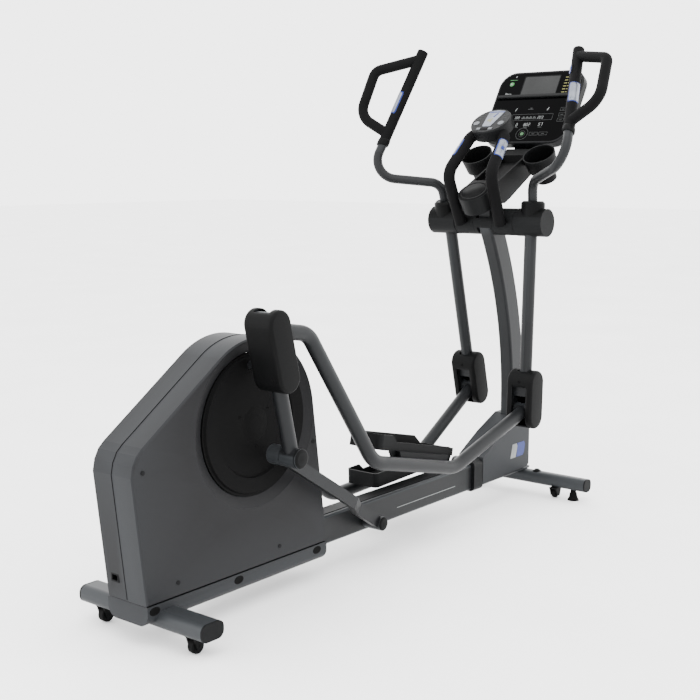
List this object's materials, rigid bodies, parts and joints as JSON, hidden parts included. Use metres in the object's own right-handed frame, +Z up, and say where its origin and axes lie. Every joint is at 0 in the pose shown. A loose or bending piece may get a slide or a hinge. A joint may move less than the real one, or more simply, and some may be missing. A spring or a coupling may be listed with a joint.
{
  "type": "elliptical trainer",
  "caption": "Rear-drive elliptical trainer with covered crank, pedal levers, swing arms, fixed handlebar, console and cup holders on a floor rail.",
  "frame": {"origin": "on the floor, at the middle of the length and of the width over the moving handles", "axes": "+X towards the console, +Y to the left of a person using it, +Z up"},
  "size_m": [2.0858, 0.8991, 1.5922],
  "materials": {
    "frame_grey": "satin",
    "shroud_plastic": "satin",
    "black_plastic": "satin",
    "black_rubber": "matte",
    "tyre_rubber": "matte",
    "console_gloss": "gloss",
    "console_trim": "satin",
    "key_grey": "satin",
    "start_green": "gloss",
    "switch_blue": "gloss",
    "steel": "brushed",
    "cast_wheel": "matte",
    "belt_rubber": "matte",
    "pulley_plastic": "matte"
  },
  "bodies": {
    "frame": {"rear_foot": "frame_grey", "front_foot": "frame_grey", "foot_end_caps": "black_plastic", "base_rail": "frame_grey", "rail_strip": "black_plastic", "rail_collar": "console_trim", "mast": "frame_grey", "pivot_shaft": "steel", "pivot_cover": "black_plastic", "fixed_handlebar": "black_rubber", "key_pod": "console_trim", "console_housing": "console_trim", "console_face": "console_gloss", "console_ledge": "console_trim", "console_neck": "black_plastic", "cup_holders": "black_plastic", "shroud_right": "shroud_plastic", "shroud_left": "shroud_plastic", "shroud_base": "shroud_plastic", "fairing_right": "shroud_plastic", "fairing_left": "shroud_plastic", "drive_belts": "belt_rubber", "generator_bracket": "frame_grey", "crank_bearings": "steel", "power_inlet": "black_plastic", "leveler_feet": "black_rubber", "wheel_forks": "black_plastic", "cover_screws": "black_plastic"},
    "crank": {"crankshaft": "steel", "crank_discs": "black_plastic", "drive_pulley": "pulley_plastic"},
    "step_wheel": {"step_pulley": "pulley_plastic"},
    "rotor": {"generator_rotor": "cast_wheel"},
    "level_down": {"level_key_down": "key_grey"},
    "level_up": {"level_key_up": "key_grey"},
    "start": {"start_button": "start_green"},
    "rear_wheel_right": {"rear_wheel_right": "tyre_rubber"},
    "rear_wheel_left": {"rear_wheel_left": "tyre_rubber"},
    "front_wheel_right": {"front_wheel_right": "tyre_rubber"},
    "front_wheel_left": {"front_wheel_left": "tyre_rubber"},
    "right_switch": {"thumb_switch": "switch_blue"},
    "right_arm": {"arm_right": "frame_grey", "arm_cover_right": "black_plastic", "arm_grip_right": "black_rubber", "front_casing_right": "black_plastic"},
    "right_lever": {"pedal_lever_right": "frame_grey", "pedal_right": "black_plastic"},
    "right_coupler": {"coupler_right": "frame_grey", "rear_casing_right": "black_plastic"},
    "right_link": {"lower_link_right": "frame_grey"},
    "left_arm": {"arm_left": "frame_grey", "arm_cover_left": "black_plastic", "arm_grip_left": "black_rubber", "front_casing_left": "black_plastic"},
    "left_lever": {"pedal_lever_left": "frame_grey", "pedal_left": "black_plastic"},
    "left_coupler": {"coupler_left": "frame_grey", "rear_casing_left": "black_plastic"},
    "left_link": {"lower_link_left": "frame_grey"}
  },
  "joints": [
    {"name": "right_arm_swing", "type": "hinge", "parent": "frame", "child": "right_arm", "pos_m": [0.651, -0.165, 1.002], "axis": [0, -1, 0], "range_deg": [-4, 16]},
    {"name": "right_lever_pivot", "type": "hinge", "parent": "right_arm", "child": "right_lever", "pos_m": [0.63244, -0.165, 0.36227], "axis": [0, -1, 0], "range_deg": [-17.06, 4.41]},
    {"name": "right_coupler_pivot", "type": "hinge", "parent": "right_lever", "child": "right_coupler", "pos_m": [-0.65504, -0.165, 0.77495], "axis": [0, -1, 0], "range_deg": [-25.41, 6.5]},
    {"name": "right_link_pivot", "type": "hinge", "parent": "frame", "child": "right_link", "pos_m": [-0.088, -0.075, 0.117], "axis": [0, -1, 0], "range_deg": [-2.88, 0.87]},
    {"name": "left_arm_swing", "type": "hinge", "parent": "frame", "child": "left_arm", "pos_m": [0.651, 0.165, 1.002], "axis": [0, -1, 0], "range_deg": [-14.6, 3.8]},
    {"name": "left_lever_pivot", "type": "hinge", "parent": "left_arm", "child": "left_lever", "pos_m": [0.80663, 0.165, 0.38121], "axis": [0, -1, 0], "range_deg": [-2.67, 10.07]},
    {"name": "left_coupler_pivot", "type": "hinge", "parent": "left_lever", "child": "left_coupler", "pos_m": [-0.54389, 0.165, 0.44439], "axis": [0, -1, 0], "range_deg": [-7.28, 28.54]},
    {"name": "left_link_pivot", "type": "hinge", "parent": "frame", "child": "left_link", "pos_m": [-0.088, 0.075, 0.117], "axis": [0, -1, 0], "range_deg": [-5.94, 1.64]},
    {"name": "crank_spin", "type": "hinge", "parent": "frame", "child": "crank", "pos_m": [-0.604, 0, 0.508], "axis": [0, -1, 0], "continuous": true},
    {"name": "step_wheel_spin", "type": "hinge", "parent": "frame", "child": "step_wheel", "pos_m": [-0.806, 0, 0.42], "axis": [0, -1, 0], "continuous": true},
    {"name": "rotor_spin", "type": "hinge", "parent": "frame", "child": "rotor", "pos_m": [-0.9, 0, 0.268], "axis": [0, -1, 0], "continuous": true},
    {"name": "rear_wheel_right_roll", "type": "hinge", "parent": "frame", "child": "rear_wheel_right", "pos_m": [-0.934, -0.169, 0.0205], "axis": [0, -1, 0], "continuous": true},
    {"name": "rear_wheel_left_roll", "type": "hinge", "parent": "frame", "child": "rear_wheel_left", "pos_m": [-0.934, 0.169, 0.0205], "axis": [0, -1, 0], "continuous": true},
    {"name": "front_wheel_right_roll", "type": "hinge", "parent": "frame", "child": "front_wheel_right", "pos_m": [0.874, -0.16, 0.016], "axis": [0, -1, 0], "continuous": true},
    {"name": "front_wheel_left_roll", "type": "hinge", "parent": "frame", "child": "front_wheel_left", "pos_m": [0.874, 0.16, 0.016], "axis": [0, -1, 0], "continuous": true},
    {"name": "level_down_press", "type": "slide", "parent": "frame", "child": "level_down", "axis": [0.5736, 0, -0.8192], "range_m": [0, 0.0015], "stiffness_N_per_m": 400},
    {"name": "level_up_press", "type": "slide", "parent": "frame", "child": "level_up", "axis": [0.5736, 0, -0.8192], "range_m": [0, 0.0015], "stiffness_N_per_m": 400},
    {"name": "start_press", "type": "slide", "parent": "frame", "child": "start", "axis": [0.8536, 0, -0.521], "range_m": [0, 0.002], "stiffness_N_per_m": 400},
    {"name": "switch_right_press", "type": "slide", "parent": "right_arm", "child": "right_switch", "axis": [0.6568, -0.6997, -0.2811], "range_m": [0, 0.0015], "stiffness_N_per_m": 400}
  ],
  "couplings": [
    {"joint": "right_lever_pivot", "follows": "right_arm_swing", "ratio": -1.0535},
    {"joint": "right_coupler_pivot", "follows": "right_arm_swing", "ratio": -1.5756},
    {"joint": "right_link_pivot", "follows": "right_arm_swing", "ratio": -0.1675},
    {"joint": "left_arm_swing", "follows": "right_arm_swing", "ratio": -0.9},
    {"joint": "left_lever_pivot", "follows": "right_arm_swing", "ratio": 0.617},
    {"joint": "left_coupler_pivot", "follows": "right_arm_swing", "ratio": 1.771},
    {"joint": "left_link_pivot", "follows": "right_arm_swing", "ratio": -0.359},
    {"joint": "step_wheel_spin", "follows": "crank_spin", "ratio": 6.25},
    {"joint": "rotor_spin", "follows": "crank_spin", "ratio": 22.5}
  ]
}
